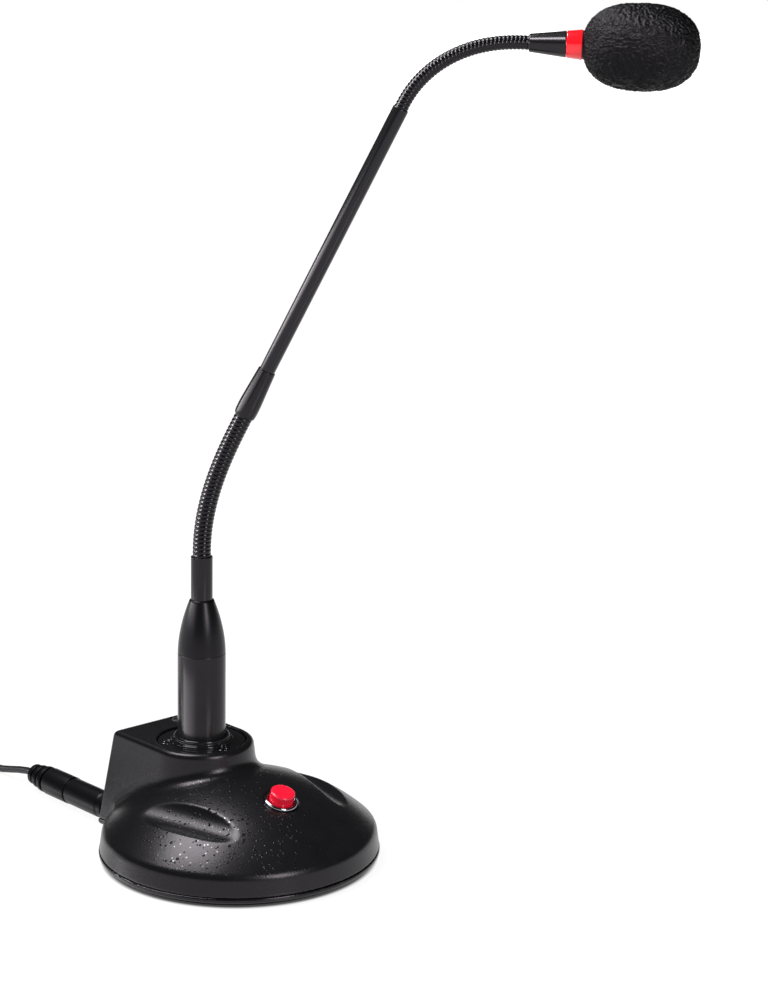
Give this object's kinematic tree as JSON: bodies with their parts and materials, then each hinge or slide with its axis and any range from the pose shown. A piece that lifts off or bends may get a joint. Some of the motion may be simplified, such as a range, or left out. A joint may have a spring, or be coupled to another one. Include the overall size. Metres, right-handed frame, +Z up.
{
  "type": "push-to-talk desk microphone",
  "caption": "Black desk microphone on a domed round base with a red push-to-talk button, a plug-in bendable neck, a red light ring and a foam windscreen.",
  "frame": {"origin": "middle of the round foot pad, on the table", "axes": "+Z up, -Y towards the talker, +X to the right of someone standing on the -Y side and looking at it"},
  "size_m": [0.2002, 0.3409, 0.3313],
  "materials": {
    "housing": "satin fine grain",
    "inner_plastic": "plain moulded",
    "neck_paint": "matte black paint",
    "neck_hose": "gloss black plating",
    "foot": "matte",
    "plate": "matte black paint",
    "steel": "bare steel",
    "chrome": "polished",
    "brass": "bare",
    "board": "solder mask",
    "button_red": "gloss",
    "ring_red": "translucent, lit",
    "foam": "open-cell foam",
    "cord": "satin"
  },
  "bodies": {
    "base": {"top_housing": "housing", "bottom_plate": "plate", "foot_pad": "foot", "plate_screws": "steel", "ballast_weight": "steel", "ballast_screws": "steel", "circuit_board": "board", "board_standoffs": "brass", "board_screws": "steel", "switch_bezel": "chrome", "switch_nut": "chrome", "switch_body": "inner_plastic", "switch_terminals": "brass", "button_spring": "steel", "mode_switch": "inner_plastic", "mode_spring": "steel", "socket_flange": "neck_paint", "socket_insert": "inner_plastic", "socket_contacts": "brass", "flange_screws": "chrome", "jack_socket": "inner_plastic", "cord_plug_pin": "chrome", "cord_plug": "cord", "cord_run": "cord", "cord_coil": "cord", "coil_ties": "cord", "cord_tail": "cord", "far_plug": "cord", "far_plug_pin": "chrome"},
    "talk": {"talk_button": "button_red"},
    "mode": {"mode_button": "inner_plastic", "mode_plunger": "inner_plastic", "mode_clip": "steel"},
    "neck_plug": {"plug_shell": "neck_paint", "plug_insert": "inner_plastic", "plug_pins": "brass", "neck_boot": "inner_plastic", "lower_ferrule": "neck_paint", "plug_lead": "cord"},
    "lower_neck": {"lower_gooseneck": "neck_hose", "lower_lead": "cord"},
    "mid_tube": {"coupling_sleeve": "neck_paint", "rigid_tube": "neck_paint", "tube_lead": "cord"},
    "upper_neck": {"upper_gooseneck": "neck_hose", "upper_lead": "cord"},
    "head": {"head_cone": "neck_paint", "light_ring": "ring_red", "led_board": "board", "head_lead": "cord", "capsule_housing": "neck_paint", "capsule_seal": "foot", "mic_capsule": "chrome", "front_grille": "neck_paint", "windscreen": "foam"}
  },
  "joints": [
    {"name": "talk_press", "type": "slide", "parent": "base", "child": "talk", "axis": [0, 0.3107, -0.9505], "range_m": [0, 0.0025], "stiffness_N_per_m": 500, "springref_m": -0.002, "deforming": ["button_spring"]},
    {"name": "mode_press", "type": "slide", "parent": "base", "child": "mode", "axis": [0, 0, -1], "range_m": [0, 0.0015], "stiffness_N_per_m": 500, "springref_m": -0.002, "deforming": ["mode_spring"]},
    {"name": "neck_unplug", "type": "slide", "parent": "base", "child": "neck_plug", "axis": [0, 0, 1], "range_m": [0, 0.018]},
    {"name": "lower_bend", "type": "hinge", "parent": "neck_plug", "child": "lower_neck", "pos_m": [0.00074, 0.02312, 0.12911], "axis": [0.766, 0.6428, 0], "range_deg": [-60, 45], "deforming": ["lower_gooseneck", "lower_lead"]},
    {"name": "lower_sway", "type": "hinge", "parent": "lower_neck", "child": "mid_tube", "pos_m": [0.00653, 0.01622, 0.15738], "axis": [0.5869, -0.6994, -0.408], "range_deg": [-45, 45], "deforming": ["lower_gooseneck", "lower_lead"]},
    {"name": "upper_bend", "type": "hinge", "parent": "mid_tube", "child": "upper_neck", "pos_m": [0.05444, -0.04088, 0.30272], "axis": [0.766, 0.6428, 0], "range_deg": [-65, 30], "deforming": ["upper_gooseneck", "upper_lead"]},
    {"name": "upper_sway", "type": "hinge", "parent": "upper_neck", "child": "head", "pos_m": [0.0707, -0.06026, 0.31537], "axis": [0.1063, -0.1267, -0.9862], "range_deg": [-45, 45], "deforming": ["upper_gooseneck", "upper_lead"]}
  ]
}
